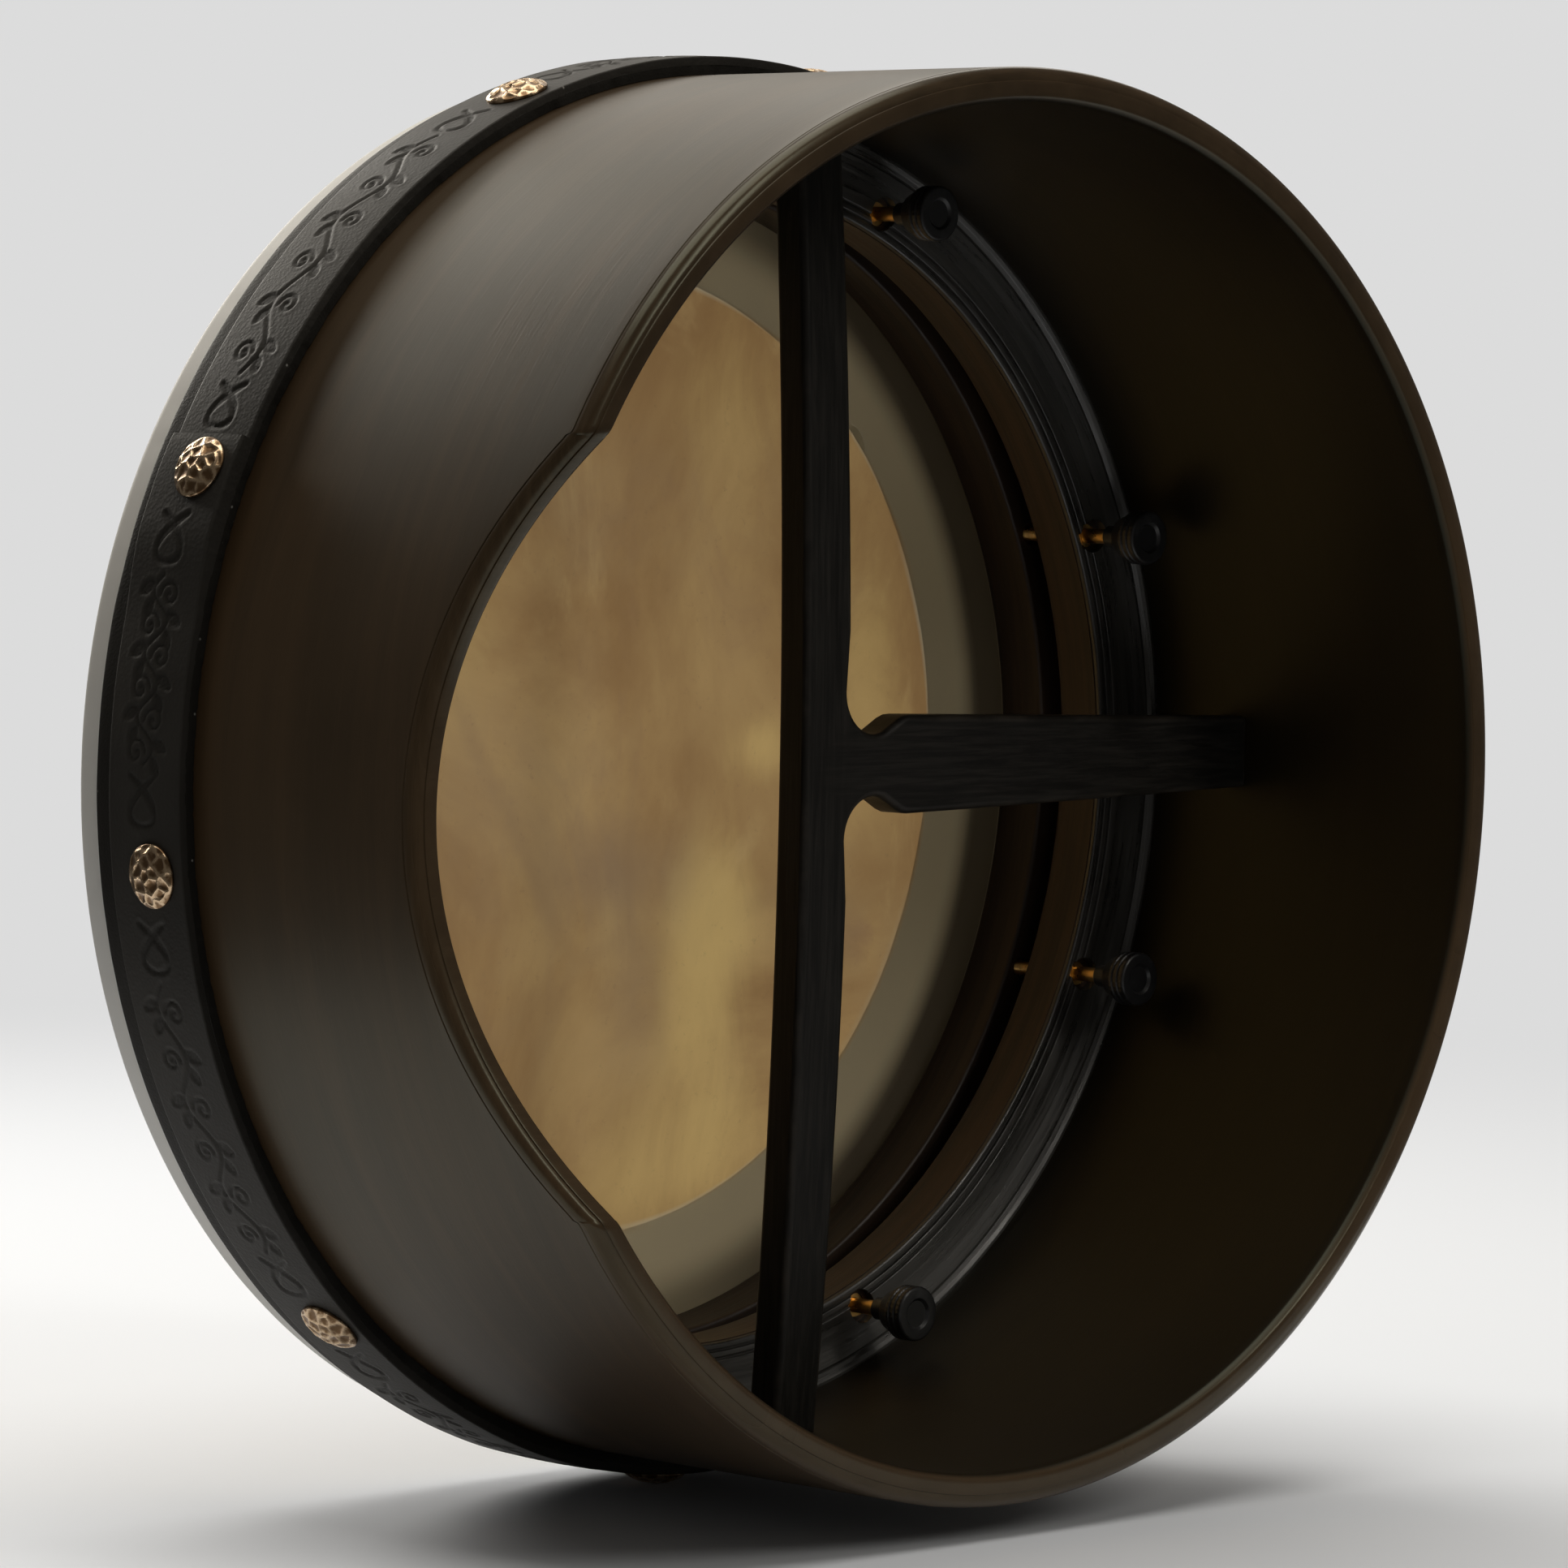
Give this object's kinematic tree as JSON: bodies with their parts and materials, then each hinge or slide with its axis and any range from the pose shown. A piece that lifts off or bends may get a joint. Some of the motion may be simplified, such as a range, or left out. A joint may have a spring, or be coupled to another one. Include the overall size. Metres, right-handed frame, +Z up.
{
  "type": "bodhran",
  "caption": "Round hand-held frame drum with a deep wooden shell, T-shaped crossbar, internal tuning hoop with thumb knobs, goatskin head, embossed leather strap and domed nails.",
  "frame": {"origin": "on the drum's axis at half the shell's depth, where the crossbar is gripped", "axes": "+Y along the drum's axis out of the open back, skin facing -Y; +Z up along the crossbar's upright; the crossbar's side arm points to -X and the hand cutaway is on the +X side"},
  "size_m": [0.3691, 0.1559, 0.3693],
  "materials": {
    "shell_walnut": "satin, dark walnut stain, open grain",
    "black_stained_wood": "satin black stain",
    "plain_beech": "bare",
    "ring_wood": "satin brown stain",
    "black_lacquered_wood": "semi-gloss black lacquer",
    "brass": "turned",
    "drum_skin": "thin translucent goatskin, mottled",
    "black_tape": "matt",
    "band_leather": "smooth black leather",
    "strap_leather": "embossed black leather",
    "aged_bronze": "hammered, aged",
    "black_knob": "moulded, satin"
  },
  "bodies": {
    "drum_frame": {"shell": "shell_walnut", "crossbar_upright": "black_stained_wood", "crossbar_arm": "black_stained_wood", "crossbar_dowels": "plain_beech", "anchor_ring": "ring_wood", "anchor_cap": "black_lacquered_wood", "threaded_inserts": "brass", "skin": "drum_skin", "damping_tape": "black_tape", "base_band": "band_leather", "leather_strap": "strap_leather", "nails": "aged_bronze"},
    "sliding_hoop": {"tuning_hoop": "ring_wood", "pressure_discs": "brass"},
    "tuner_1": {"tuner_screw_1": "brass", "tuner_knob_1": "black_knob"},
    "tuner_2": {"tuner_screw_2": "brass", "tuner_knob_2": "black_knob"},
    "tuner_3": {"tuner_screw_3": "brass", "tuner_knob_3": "black_knob"},
    "tuner_4": {"tuner_screw_4": "brass", "tuner_knob_4": "black_knob"},
    "tuner_5": {"tuner_screw_5": "brass", "tuner_knob_5": "black_knob"},
    "tuner_6": {"tuner_screw_6": "brass", "tuner_knob_6": "black_knob"},
    "tuner_7": {"tuner_screw_7": "brass", "tuner_knob_7": "black_knob"},
    "tuner_8": {"tuner_screw_8": "brass", "tuner_knob_8": "black_knob"}
  },
  "joints": [
    {"name": "hoop_slide", "type": "slide", "parent": "drum_frame", "child": "sliding_hoop", "axis": [0, -1, 0], "range_m": [-0.0006, 0.003], "deforming": ["skin", "damping_tape"]},
    {"name": "tuner_1_turn", "type": "hinge", "parent": "sliding_hoop", "child": "tuner_1", "pos_m": [-0.14459, 0, 0.05989], "axis": [0, -1, 0], "range_deg": [-309, 1543]},
    {"name": "tuner_2_turn", "type": "hinge", "parent": "sliding_hoop", "child": "tuner_2", "pos_m": [-0.05989, 0, 0.14459], "axis": [0, -1, 0], "range_deg": [-309, 1543]},
    {"name": "tuner_3_turn", "type": "hinge", "parent": "sliding_hoop", "child": "tuner_3", "pos_m": [0.05989, 0, 0.14459], "axis": [0, -1, 0], "range_deg": [-309, 1543]},
    {"name": "tuner_4_turn", "type": "hinge", "parent": "sliding_hoop", "child": "tuner_4", "pos_m": [0.14459, 0, 0.05989], "axis": [0, -1, 0], "range_deg": [-309, 1543]},
    {"name": "tuner_5_turn", "type": "hinge", "parent": "sliding_hoop", "child": "tuner_5", "pos_m": [0.14459, 0, -0.05989], "axis": [0, -1, 0], "range_deg": [-309, 1543]},
    {"name": "tuner_6_turn", "type": "hinge", "parent": "sliding_hoop", "child": "tuner_6", "pos_m": [0.05989, 0, -0.14459], "axis": [0, -1, 0], "range_deg": [-309, 1543]},
    {"name": "tuner_7_turn", "type": "hinge", "parent": "sliding_hoop", "child": "tuner_7", "pos_m": [-0.05989, 0, -0.14459], "axis": [0, -1, 0], "range_deg": [-309, 1543]},
    {"name": "tuner_8_turn", "type": "hinge", "parent": "sliding_hoop", "child": "tuner_8", "pos_m": [-0.14459, 0, -0.05989], "axis": [0, -1, 0], "range_deg": [-309, 1543]}
  ],
  "couplings": [
    {"joint": "tuner_1_turn", "follows": "hoop_slide", "rad_per_m": 8976},
    {"joint": "tuner_2_turn", "follows": "hoop_slide", "rad_per_m": 8976},
    {"joint": "tuner_3_turn", "follows": "hoop_slide", "rad_per_m": 8976},
    {"joint": "tuner_4_turn", "follows": "hoop_slide", "rad_per_m": 8976},
    {"joint": "tuner_5_turn", "follows": "hoop_slide", "rad_per_m": 8976},
    {"joint": "tuner_6_turn", "follows": "hoop_slide", "rad_per_m": 8976},
    {"joint": "tuner_7_turn", "follows": "hoop_slide", "rad_per_m": 8976},
    {"joint": "tuner_8_turn", "follows": "hoop_slide", "rad_per_m": 8976}
  ]
}
